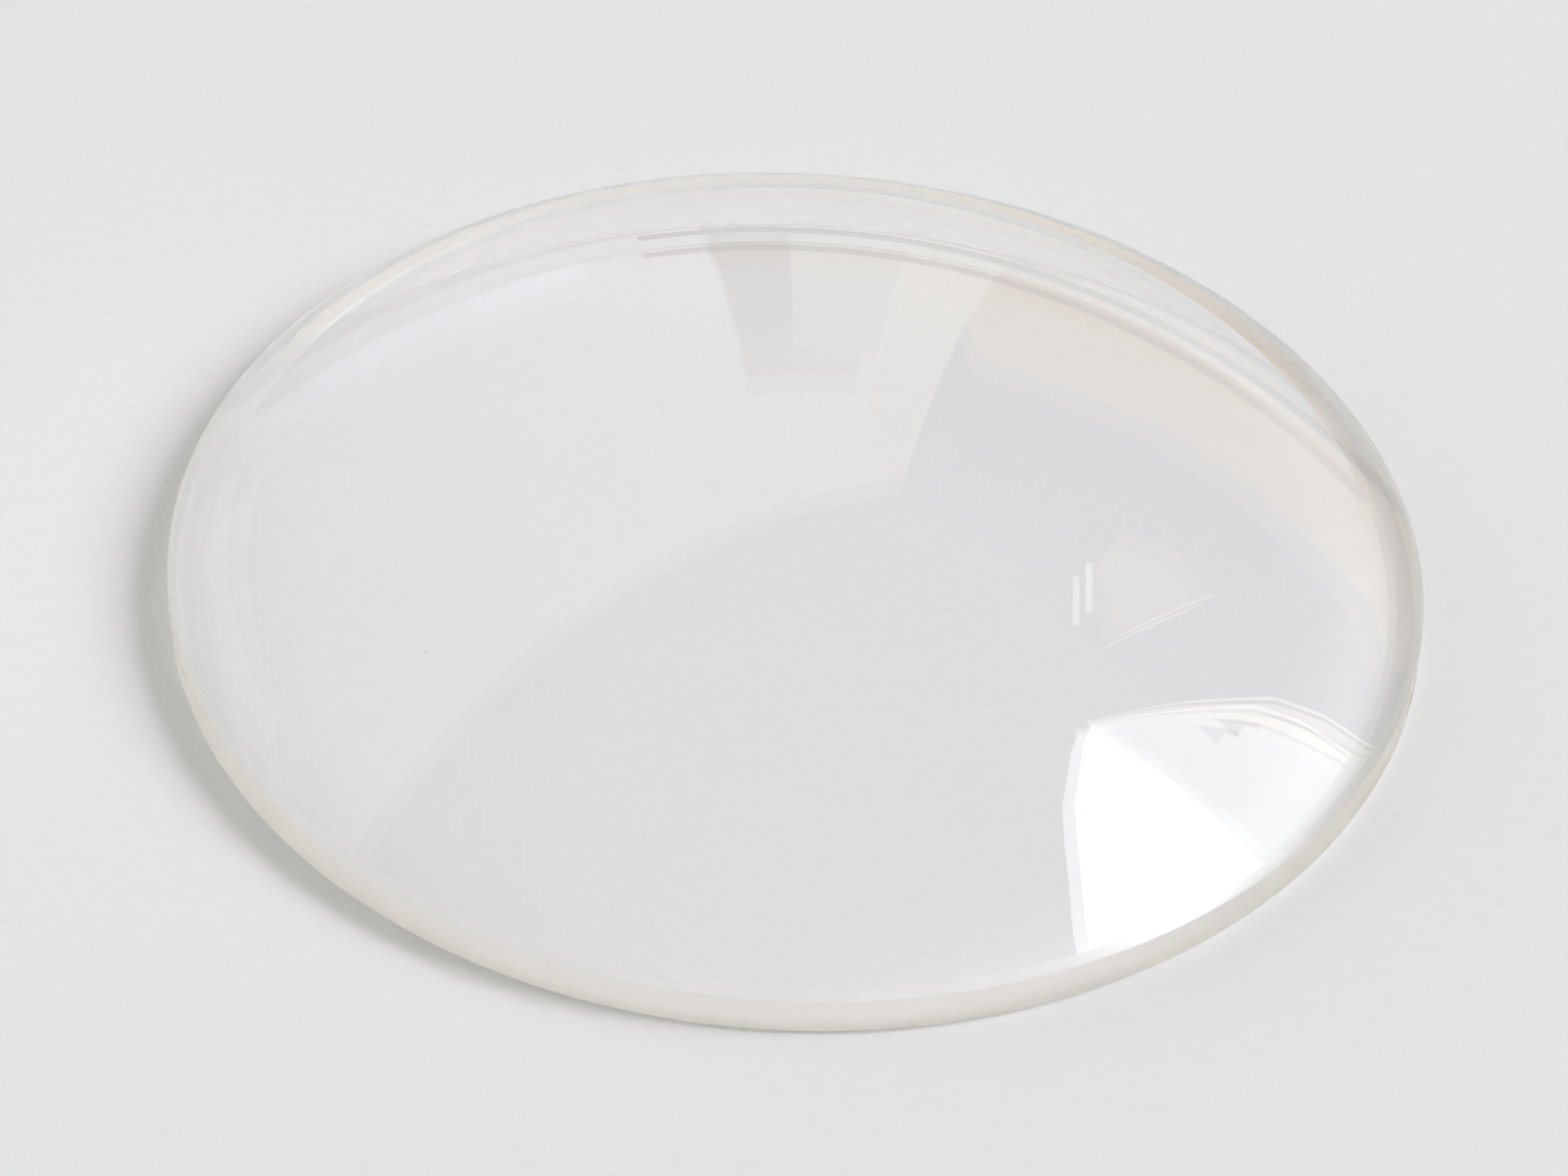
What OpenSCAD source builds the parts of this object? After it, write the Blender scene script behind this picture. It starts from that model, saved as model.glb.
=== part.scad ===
// Watch glass: one round, shallow dome of clear glass, standing on its rim with the convex
// face up. Both curved faces are polished. The edge is cut to a true circle and ground, with
// a narrow ground bevel above it and another below it.
// The origin is the centre of the circle that the rim stands on, and +Z is the dome's axis.

/* [Outline] */
// Diameter over the ground edge
rim_d = 50; // [48:1:60]
// Height of the foot of the top bevel above the base
edge_h = 1.7; // [1.5:0.05:1.9]

/* [Dome] */
// Radius of curvature of the convex face
convex_r = 45; // [43:0.5:48]
// Thickness of the glass at the centre
centre_t = 2; // [1.9:0.05:2.3]
// Height of the concave face's centre of curvature above the convex face's
centre_lift = 0.4; // [0.2:0.05:0.5]

/* [Ground bevels] */
// Width and height of the bevel between the edge and the convex face
top_bevel = 0.3; // [0.1:0.05:0.4]
// Width and height of the bevel between the edge and the base
foot_bevel = 0.2; // [0.1:0.05:0.25]

/* [Hidden] */
$fn = 360;

glass_colour = [0.86, 0.9, 0.9, 0.4];

rim_r = rim_d / 2;
// The convex face starts on this circle, at the top of the bevel.
face_r = rim_r - top_bevel;
face_z = edge_h + top_bevel;
convex_z = face_z - sqrt(convex_r * convex_r - face_r * face_r);
apex_z = convex_z + convex_r;
concave_z = convex_z + centre_lift;
concave_r = convex_r - centre_t - centre_lift;
// The blank's cone carries the slope of the top bevel up to this height over the edge,
// which clears the apex of the dome.
cone_h = apex_z;

// The turned outline of the rim: foot bevel, edge and top bevel, open above for the dome.
module rim_blank() {
    rotate_extrude()
        polygon([
            [0, 0],
            [rim_r - foot_bevel, 0],
            [rim_r, foot_bevel],
            [rim_r, edge_h],
            [rim_r - cone_h, edge_h + cone_h],
            [0, edge_h + cone_h]
        ]);
}

// The glass lies inside the convex sphere and outside the concave one.
module watch_glass() {
    color(glass_colour)
        difference() {
            intersection() {
                rim_blank();
                translate([0, 0, convex_z])
                    sphere(r = convex_r);
            }
            translate([0, 0, concave_z])
                sphere(r = concave_r);
        }
}

watch_glass();
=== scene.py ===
"""Looks of the watch glass: clear polished glass with a ground edge, on white paper in daylight.

Metres, in the CAD frame: Z is the dome's axis, the base is at zero and the camera is towards -Y.
"""

import math

import bmesh
import bpy
from mathutils import Matrix, Vector


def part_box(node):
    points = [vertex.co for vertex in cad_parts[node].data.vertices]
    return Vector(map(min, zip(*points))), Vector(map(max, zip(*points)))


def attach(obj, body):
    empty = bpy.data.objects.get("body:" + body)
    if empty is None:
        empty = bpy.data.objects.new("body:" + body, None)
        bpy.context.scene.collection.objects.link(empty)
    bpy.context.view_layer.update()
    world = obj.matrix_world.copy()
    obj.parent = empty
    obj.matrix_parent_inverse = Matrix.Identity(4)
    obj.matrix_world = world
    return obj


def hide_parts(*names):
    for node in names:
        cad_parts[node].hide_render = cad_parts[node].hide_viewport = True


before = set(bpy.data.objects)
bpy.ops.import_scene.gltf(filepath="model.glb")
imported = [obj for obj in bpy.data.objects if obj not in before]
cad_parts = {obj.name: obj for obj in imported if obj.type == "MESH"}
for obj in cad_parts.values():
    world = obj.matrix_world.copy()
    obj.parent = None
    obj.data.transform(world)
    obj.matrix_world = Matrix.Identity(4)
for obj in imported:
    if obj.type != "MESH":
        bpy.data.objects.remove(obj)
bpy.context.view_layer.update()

MM = 0.001
NODE_LOW, NODE_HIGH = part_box("watch_glass")

# The glass. Its width and height are the CAD node's, and the rest repeats the CAD's own sizes.
RIM_R = (NODE_HIGH.x - NODE_LOW.x) / 2
APEX_Z = NODE_HIGH.z
EDGE_H = 1.7 * MM
TOP_BEVEL = 0.3 * MM
FOOT_BEVEL = 0.2 * MM
CENTRE_T = 2.0 * MM
CENTRE_LIFT = 0.4 * MM
CORNER_R = 0.04 * MM

FACE_R = RIM_R - TOP_BEVEL
FACE_Z = EDGE_H + TOP_BEVEL
DOME_RISE = APEX_Z - FACE_Z
CONVEX_R = (FACE_R**2 + DOME_RISE**2) / (2 * DOME_RISE)
CONCAVE_R = CONVEX_R - CENTRE_T - CENTRE_LIFT
CONCAVE_Z = APEX_Z - CONVEX_R + CENTRE_LIFT
FOOT_R = math.sqrt(CONCAVE_R**2 - CONCAVE_Z**2)

TURN_STEPS = 400
FACE_STEPS = 96
CORNER_STEPS = 3
ON_AXIS = 1e-9

GLASS_IOR = 1.52
CLEAR = (1.0, 0.9975, 0.9965, 1.0)
BEVEL_TINT = (0.985, 0.975, 0.955, 1.0)
EDGE_TINT = (0.935, 0.885, 0.825, 1.0)
BASE_TINT = (0.985, 1.0, 0.995, 1.0)

# A texture's size is its number of cells to the metre. Its FADE pair is the part of the noise's
# 0 to 1 over which it goes from nothing to its full strength.
SMEAR_CELLS = (90, 260, 90)
SMEAR_FADE = (0.5, 0.75)
SMEAR_ROUGHNESS = 0.02

# Specks of dust. A speck fades out between two radii, in cells. This share of the cells has none.
SPECK_CELLS = 220
SPECK_R = (0.008, 0.016)
SPECKLESS_CELLS = 0.8
SPECK_ROUGHNESS = 0.5
SPECK_HEIGHT = 0.03 * MM

# The finger mark fades out between two radii. Its relief is a share of a speck's height. Its
# ridges are rings, drawn in millimetres about a centre outside the mark.
FINGER_SPOT = (0.17 * RIM_R, -0.93 * RIM_R, 0)
FINGER_R = (0.5 * MM, 2.6 * MM)
FINGER_RELIEF = 0.02
RING_OFFSET = (-1.5, 26.0, 0)
RING_SCALE = 0.33
RING_DISTORTION = 1.6
RING_DETAIL_SCALE = 0.5

# The ground surfaces, with patches of more and less wear under an even grain.
WEAR_CELLS = 700
WEAR_FADE = (0.3, 0.7)
WEAR_SPREAD = 0.06
GRAIN_CELLS = 14000

# The paper's fibres and its two tones.
FIBRE_CELLS = 1600
FIBRE_FADE = (0.25, 0.75)
FIBRE_DEPTH = 0.01 * MM
PAPER_DARK = (0.80, 0.80, 0.797, 1)
PAPER_LIGHT = (0.815, 0.815, 0.812, 1)

# The camera, as a 135 mm lens on a full frame.
LENS = 135.0
SENSOR = 36.0
CAMERA_EL = math.radians(41.31)
CAMERA_ROLL = math.radians(2.93)
CAMERA_DISTANCE = 9.424 * RIM_R
CAMERA_AIM = Vector((-0.0183, -0.0042, 0)) * RIM_R

# How far light is followed.
LIGHT_BOUNCES = 64
DIFFUSE_BOUNCES = 16

# The sheet of paper, with a gap that keeps it clear of the glass's base.
FLOOR_R = 0.9
FLOOR_STEPS = 96
FLOOR_GAP = 0.01 * MM


def node(tree, kind, **settings):
    """A new node of a kind, with its own settings such as operation or blend_type."""
    made = tree.nodes.new("ShaderNode" + kind)
    for name, value in settings.items():
        setattr(made, name, value)
    return made


def math_node(tree, operation, first, second):
    """The result of an operation on two values, each a socket or a number."""
    made = node(tree, "Math", operation=operation)
    for socket, value in zip(made.inputs, (first, second)):
        if isinstance(value, (int, float)):
            socket.default_value = value
        else:
            tree.links.new(value, socket)
    return made.outputs[0]


def ramp(tree, source, low, high, to_low=0.0, to_high=1.0):
    """Maps source from low..high to to_low..to_high smoothly, and holds it there beyond."""
    made = node(tree, "MapRange", interpolation_type="SMOOTHSTEP")
    tree.links.new(source, made.inputs["Value"])
    made.inputs["From Min"].default_value = low
    made.inputs["From Max"].default_value = high
    made.inputs["To Min"].default_value = to_low
    made.inputs["To Max"].default_value = to_high
    return made.outputs["Result"]


def place(tree, cells, offset=(0, 0, 0)):
    """The object's own coordinates, in cells: so many to the metre on all axes, or on each."""
    coordinates = node(tree, "TexCoord")
    mapping = node(tree, "Mapping")
    tree.links.new(coordinates.outputs["Object"], mapping.inputs["Vector"])
    mapping.inputs["Scale"].default_value = cells if isinstance(cells, tuple) else (cells,) * 3
    mapping.inputs["Location"].default_value = offset
    return mapping.outputs["Vector"]


def noise(tree, vector, detail, roughness=0.5):
    """Noise from 0 to 1, with about one feature to a cell."""
    made = node(tree, "TexNoise")
    tree.links.new(vector, made.inputs["Vector"])
    made.inputs["Scale"].default_value = 1.0
    made.inputs["Detail"].default_value = detail
    made.inputs["Roughness"].default_value = roughness
    return made.outputs["Fac"]


def bump(tree, height, distance):
    """The normal of a relief whose height of 1 stands for this distance."""
    made = node(tree, "Bump")
    tree.links.new(height, made.inputs["Height"])
    made.inputs["Distance"].default_value = distance
    return made.outputs["Normal"]


def new_glass(name, tint):
    """A glass material, its node tree and its shader."""
    material = bpy.data.materials.new(name)
    material.use_nodes = True
    tree = material.node_tree
    shader = tree.nodes["Principled BSDF"]
    shader.inputs["Base Color"].default_value = tint
    shader.inputs["Transmission Weight"].default_value = 1.0
    shader.inputs["IOR"].default_value = GLASS_IOR
    return material, tree, shader


def dust_specks(tree):
    """1 on sparse specks of dust 0.1 mm across, 0 elsewhere."""
    cells = node(tree, "TexVoronoi", feature="F1")
    tree.links.new(place(tree, SPECK_CELLS), cells.inputs["Vector"])
    cells.inputs["Scale"].default_value = 1.0
    cell_kind = node(tree, "SeparateColor")
    tree.links.new(cells.outputs["Color"], cell_kind.inputs[0])
    near = ramp(tree, cells.outputs["Distance"], *SPECK_R, 1.0, 0.0)
    # A cell's colour is random, and its red picks the cells that have a speck.
    chosen = math_node(tree, "GREATER_THAN", cell_kind.outputs[0], SPECKLESS_CELLS)
    return math_node(tree, "MULTIPLY", near, chosen)


def finger_print(tree):
    """The height of a faint finger mark's ridges, on one spot near the rim."""
    spot = node(tree, "VectorMath", operation="DISTANCE")
    tree.links.new(place(tree, (1, 1, 0)), spot.inputs[0])
    spot.inputs[1].default_value = FINGER_SPOT
    patch = ramp(tree, spot.outputs["Value"], *FINGER_R, 1.0, 0.0)
    ridges = node(tree, "TexWave", wave_type="RINGS", rings_direction="Z")
    tree.links.new(place(tree, (1 / MM, 1 / MM, 0), RING_OFFSET), ridges.inputs["Vector"])
    ridges.inputs["Scale"].default_value = RING_SCALE
    ridges.inputs["Distortion"].default_value = RING_DISTORTION
    ridges.inputs["Detail"].default_value = 1.0
    ridges.inputs["Detail Scale"].default_value = RING_DETAIL_SCALE
    return math_node(tree, "MULTIPLY", ridges.outputs["Fac"], patch)


def polished_glass():
    """Polished faces: faint wiping smears, a few specks of dust and one finger mark."""
    material, tree, shader = new_glass("polished_glass", CLEAR)
    streaks = noise(tree, place(tree, SMEAR_CELLS), detail=3.0)
    smears = ramp(tree, streaks, *SMEAR_FADE, 0.0, SMEAR_ROUGHNESS)
    specks = dust_specks(tree)
    dust = math_node(tree, "MULTIPLY", specks, SPECK_ROUGHNESS)
    tree.links.new(math_node(tree, "ADD", smears, dust), shader.inputs["Roughness"])
    ridges = math_node(tree, "MULTIPLY", finger_print(tree), FINGER_RELIEF)
    relief = math_node(tree, "ADD", specks, ridges)
    tree.links.new(bump(tree, relief, SPECK_HEIGHT), shader.inputs["Normal"])
    return material


def ground_glass(name, tint, roughness, grain_depth, clear):
    """Finely ground glass: a grain of pits a few hundredths of a millimetre across.

    clear is the share of the light that it lets through. The rest is scattered.
    """
    material, tree, shader = new_glass(name, tint)
    shader.inputs["Transmission Weight"].default_value = clear
    wear = noise(tree, place(tree, WEAR_CELLS), detail=3.0)
    worn = ramp(tree, wear, *WEAR_FADE, roughness - WEAR_SPREAD, roughness + WEAR_SPREAD)
    tree.links.new(worn, shader.inputs["Roughness"])
    grain = noise(tree, place(tree, GRAIN_CELLS), detail=4.0, roughness=0.65)
    tree.links.new(bump(tree, grain, grain_depth), shader.inputs["Normal"])
    return material


def paper():
    """Matt white paper with a faint felt of fibres."""
    material = bpy.data.materials.new("white_paper")
    material.use_nodes = True
    tree = material.node_tree
    shader = tree.nodes["Principled BSDF"]
    shader.inputs["Roughness"].default_value = 1.0
    shader.inputs["Specular IOR Level"].default_value = 0.1
    fibres = noise(tree, place(tree, FIBRE_CELLS), detail=5.0, roughness=0.6)
    tone = node(tree, "Mix", data_type="RGBA")
    tree.links.new(ramp(tree, fibres, *FIBRE_FADE), tone.inputs["Factor"])
    socket_a, socket_b = [s for s in tone.inputs if s.type == "RGBA"]
    socket_a.default_value = PAPER_DARK
    socket_b.default_value = PAPER_LIGHT
    tree.links.new([s for s in tone.outputs if s.type == "RGBA"][0], shader.inputs["Base Color"])
    tree.links.new(bump(tree, fibres, FIBRE_DEPTH), shader.inputs["Normal"])
    return material


def arc(radius, centre_z, start_r, end_r, steps):
    """Points (r, z) on a sphere about the axis, from the circle start_r to the circle end_r."""
    start, end = math.asin(start_r / radius), math.asin(end_r / radius)
    angles = [start + (end - start) * i / steps for i in range(steps + 1)]
    return [(radius * math.sin(a), centre_z + radius * math.cos(a)) for a in angles]


def rounded(before, corner, after):
    """The corner's points, rounded off to CORNER_R between its two neighbours in the outline."""
    corner_v = Vector(corner)
    to_before = (Vector(before) - corner_v).normalized()
    to_after = (Vector(after) - corner_v).normalized()
    half = to_before.angle(to_after) / 2
    setback = CORNER_R / math.tan(half)
    centre = corner_v + (to_before + to_after).normalized() * (CORNER_R / math.sin(half))
    start = corner_v + to_before * setback - centre
    end = corner_v + to_after * setback - centre
    turns = [start.lerp(end, i / CORNER_STEPS).normalized() for i in range(CORNER_STEPS + 1)]
    return [tuple(centre + turn * CORNER_R) for turn in turns]


# The finishes, in the order of the glass's materials.
POLISHED, BEVEL, EDGE, BASE = range(4)


def glass_outline():
    """The half section, from the apex round the rim to the underside's centre.

    Each point is (r, z, the finish from there to the next point).
    """
    convex = arc(CONVEX_R, APEX_Z - CONVEX_R, 0, FACE_R, FACE_STEPS)
    concave = arc(CONCAVE_R, CONCAVE_Z, FOOT_R, 0, FACE_STEPS)
    corners = [
        convex[-2],
        (FACE_R, FACE_Z),
        (RIM_R, EDGE_H),
        (RIM_R, FOOT_BEVEL),
        (RIM_R - FOOT_BEVEL, 0.0),
        (FOOT_R, 0.0),
        concave[1],
    ]
    # The foot bevel is finished like the base.
    finishes = [BEVEL, EDGE, BASE, BASE, POLISHED]
    outline = [(r, z, POLISHED) for r, z in convex[:-1]]
    for before, corner, after, finish in zip(corners, corners[1:], corners[2:], finishes):
        outline += [(r, z, finish) for r, z in rounded(before, corner, after)]
    return outline + [(r, z, POLISHED) for r, z in concave[1:]]


def turned(name, outline, materials):
    """A mesh turned about Z from an outline that starts and ends on the axis."""
    shape = bmesh.new()
    rings = []
    for r, z, _ in outline:
        if r < ON_AXIS:
            rings.append([shape.verts.new((0, 0, z))] * TURN_STEPS)
            continue
        turns = [2 * math.pi * k / TURN_STEPS for k in range(TURN_STEPS)]
        rings.append([shape.verts.new((r * math.cos(t), r * math.sin(t), z)) for t in turns])
    for upper, lower, (_, _, finish) in zip(rings, rings[1:], outline):
        for k in range(TURN_STEPS):
            n = (k + 1) % TURN_STEPS
            # A ring on the axis is one vertex, which is taken once, so the face is a triangle.
            around = dict.fromkeys((upper[k], lower[k], lower[n], upper[n]))
            face = shape.faces.new(list(around))
            face.material_index = finish
            face.smooth = True
    mesh = bpy.data.meshes.new(name)
    shape.to_mesh(mesh)
    shape.free()
    for material in materials:
        mesh.materials.append(material)
    made = bpy.data.objects.new(name, mesh)
    bpy.context.scene.collection.objects.link(made)
    return made


def make_glass():
    """The watch glass, one piece with four finishes."""
    materials = [
        polished_glass(),
        ground_glass("ground_bevel", BEVEL_TINT, roughness=0.35, grain_depth=0.001 * MM, clear=1.0),
        ground_glass("ground_edge", EDGE_TINT, roughness=0.55, grain_depth=0.002 * MM, clear=1.0),
        ground_glass("ground_base", BASE_TINT, roughness=0.45, grain_depth=0.001 * MM, clear=0.6),
    ]
    glass = turned("glass", glass_outline(), materials)
    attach(glass, "root")
    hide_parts("watch_glass")


def make_floor():
    """A wide sheet of paper, so that the glass mirrors it down to the horizon."""
    shape = bmesh.new()
    bmesh.ops.create_circle(shape, cap_ends=True, segments=FLOOR_STEPS, radius=FLOOR_R)
    mesh = bpy.data.meshes.new("paper")
    shape.to_mesh(mesh)
    shape.free()
    mesh.materials.append(paper())
    floor = bpy.data.objects.new("paper", mesh)
    floor.location.z = -FLOOR_GAP
    bpy.context.scene.collection.objects.link(floor)


# The room's light, as a share of the light given for each card and for the ceiling.
DAYLIGHT = 0.94
CEILING = (0.44, 0.43, 0.42)

# The window, from its sill up: its near corner and its far side. Its frame narrows to nothing at
# the head, over this many degrees below it.
WINDOW_NEAR = (-24, 26)
WINDOW_SIDE = ((28.5, 26), (29, 27.5), (31, 32), (32, 37), (31, 43), (30, 48.5), (27, 58.5))
WINDOW_HEAD = 63
WINDOW_NARROWING = 25

# The far side of the sky in the window.
SKY_SIDE = ((24.5, 26), (24.5, 28), (26.5, 32.5), (27.5, 38), (28.5, 43), (28.5, 48.5), (26.5, 58))


def window_opening(inset):
    """The window's corners, its far side drawn in by this many degrees, and less near its head."""
    side = ((a - inset * min(1, (WINDOW_HEAD - e) / WINDOW_NARROWING), e) for a, e in WINDOW_SIDE)
    return WINDOW_NEAR, *side


# What stands round the glass: flat upright cards that glow. Each has the azimuth that it stands
# square to, its distance, its light, and its corners as seen from the glass: (azimuth, elevation)
# in degrees. Azimuth 0 is +X, to the right, and 90 is +Y, away from the camera. A nearer card
# hides what is behind it.
CARDS = (
    ("camera_wall", -90, 3.0, (0.46, 0.43, 0.40), ((-160, 0), (-15, 0), (-15, 20), (-160, 24))),
    ("white_wall", 127, 3.0, (0.94, 0.92, 0.91), ((81.5, 0), (205, 0), (205, 21), (77.5, 48))),
    ("low_wall", 140, 2.6, (1.03, 1.06, 1.09), ((100, 1), (182, 1), (182, 9), (100, 9))),
    (
        "left_wall", 150, 2.55, (1.2, 1.24, 1.22),
        (
            (116, 1), (121, 6), (128, 13), (137, 21), (148, 30), (158, 37),
            (180, 42), (205, 42), (205, 1),
        ),
    ),
    ("blue_wall", 55, 3.0, (0.34, 0.35, 0.41), ((10, 0), (81.5, 0), (77.5, 50), (10, 43))),
    (
        "wood_panel", 62, 2.7, (0.76, 0.59, 0.42),
        (
            (36, 0), (81.5, 0), (80, 19), (77.5, 25.5), (71.5, 25), (63, 22.5),
            (53, 20.5), (45, 18.5), (38.5, 21),
        ),
    ),
    ("door_frame", 83, 2.8, (0.92, 0.83, 0.70), ((81, 0), (85.5, 0), (83.5, 44), (77.5, 49))),
    (
        "shelf", 92, 2.8, (0.60, 0.53, 0.46),
        ((91, 0), (95, 0), (95, 34.5), (85.5, 33.5), (86, 29), (91, 29)),
    ),
    ("shelf_end", 88, 2.8, (0.82, 0.75, 0.66), ((85.5, 0), (91, 0), (91, 29), (84.5, 29))),
    ("table_shadow", 55, 1.3, (0.17, 0.13, 0.09), ((10, 0.8), (98, 0.8), (98, 2.3), (10, 2.3))),
    ("window_trim", 5, 2.42, (3.0, 3.0, 2.9), window_opening(0)),
    ("window_frame", 5, 2.38, (0.50, 0.45, 0.38), window_opening(0.5)),
    ("window_reveal", 5, 2.34, (2.7, 2.6, 2.3), window_opening(1)),
    (
        "window_bead", 5, 2.32, (1.1, 1.0, 0.85),
        ((26.5, 27), (27, 27), (29.6, 37), (29.2, 43), (29, 37)),
    ),
    (
        "window_sky", 5, 2.3, (4.5, 4.65, 4.85),
        (
            (-23, 26), *SKY_SIDE, (22.5, 59.5), (9, 61.5), (0.5, 61),
            (-14.5, 58), (-18.5, 56.5), (-23, 54),
        ),
    ),
    (
        "sky_glare", 5, 2.29, (9.5, 9.8, 10.3),
        ((-20, 26), (8, 26), (8, 41), (20, 52), (9, 55), (-11, 52.5), (-20, 49)),
    ),
    ("haze", 5, 2.28, (3.05, 3.25, 3.3), ((0, 26), *SKY_SIDE, (8.5, 42))),
    ("far_roofs", 5, 2.25, (2.2, 2.4, 2.45), ((2, 26), *SKY_SIDE[:-1], (26.5, 57), (10.5, 41))),
    (
        "far_tree", 5, 2.2, (0.5, 0.55, 0.6),
        ((28, 45), (27, 44), (25.5, 43), (27.5, 41.5), (27, 40), (28, 40)),
    ),
    (
        "picture", 50, 2.9, (0.84, 0.67, 0.51),
        ((52.5, 46.5), (55, 40), (51.5, 36.5), (45, 37), (42.5, 50)),
    ),
    ("curtain_rod", 50, 1.6, (2.6, 2.6, 2.6), ((46, 51), (53, 46.2), (53.4, 46.8), (46.4, 51.6))),
    ("lamp_cord", 43, 1.6, (2.4, 2.3, 2.0), ((41.2, 50), (44.7, 37), (44.9, 37), (41.5, 50))),
)


def lit(colour):
    """A colour's light at the room's level, with full alpha."""
    return (*(DAYLIGHT * channel for channel in colour), 1)


def glow(name, colour):
    """A surface that gives off one even light."""
    material = bpy.data.materials.new(name)
    material.use_nodes = True
    tree = material.node_tree
    light = node(tree, "Emission")
    light.inputs["Color"].default_value = lit(colour)
    tree.links.new(light.outputs["Emission"], tree.nodes["Material Output"].inputs["Surface"])
    return material


def make_card(name, facing, distance, colour, corners):
    """One glowing card, which lights the glass and shows in it, but not in the camera.

    Each corner is where a line of sight from the glass meets the card's upright plane.
    """
    points = []
    for azimuth, elevation in corners:
        a, e = math.radians(azimuth), math.radians(elevation)
        reach = distance / math.cos(a - math.radians(facing))
        points.append((reach * math.cos(a), reach * math.sin(a), reach * math.tan(e)))
    mesh = bpy.data.meshes.new(name)
    mesh.from_pydata(points, [], [tuple(range(len(points)))])
    mesh.materials.append(glow(name, colour))
    card = bpy.data.objects.new(name, mesh)
    card.visible_camera = False
    bpy.context.scene.collection.objects.link(card)


def make_room():
    """The light: a pale room in daylight, with a window on the right."""
    world = bpy.data.worlds.new("room")
    world.use_nodes = True
    world.node_tree.nodes["Background"].inputs["Color"].default_value = lit(CEILING)
    bpy.context.scene.world = world
    for card in CARDS:
        make_card(*card)


def make_camera():
    """The photo's camera: a long lens that looks down over the near rim, rolled a little."""
    back = Vector((0, -math.cos(CAMERA_EL), math.sin(CAMERA_EL)))
    right = Vector((1, 0, 0))
    up = back.cross(right)
    turn = Matrix((right, up, back)).transposed().to_4x4()
    lens = bpy.data.cameras.new("camera")
    lens.lens = LENS
    lens.sensor_width = SENSOR
    lens.clip_start = MM
    camera = bpy.data.objects.new("camera", lens)
    bpy.context.scene.collection.objects.link(camera)
    position = Matrix.Translation(back * CAMERA_DISTANCE + CAMERA_AIM)
    camera.matrix_world = position @ turn @ Matrix.Rotation(CAMERA_ROLL, 4, "Z")
    bpy.context.scene.camera = camera


def let_light_through(scene):
    """Follows light all the way through the glass, with no blurring, so that the rim isn't dark."""
    scene.cycles.max_bounces = LIGHT_BOUNCES
    scene.cycles.transmission_bounces = LIGHT_BOUNCES
    scene.cycles.glossy_bounces = LIGHT_BOUNCES
    scene.cycles.diffuse_bounces = DIFFUSE_BOUNCES
    scene.cycles.sample_clamp_indirect = 0.0
    scene.cycles.blur_glossy = 0.0


make_camera()
make_floor()
make_room()
make_glass()
let_light_through(bpy.context.scene)
bpy.context.scene.view_settings.view_transform = "Standard"
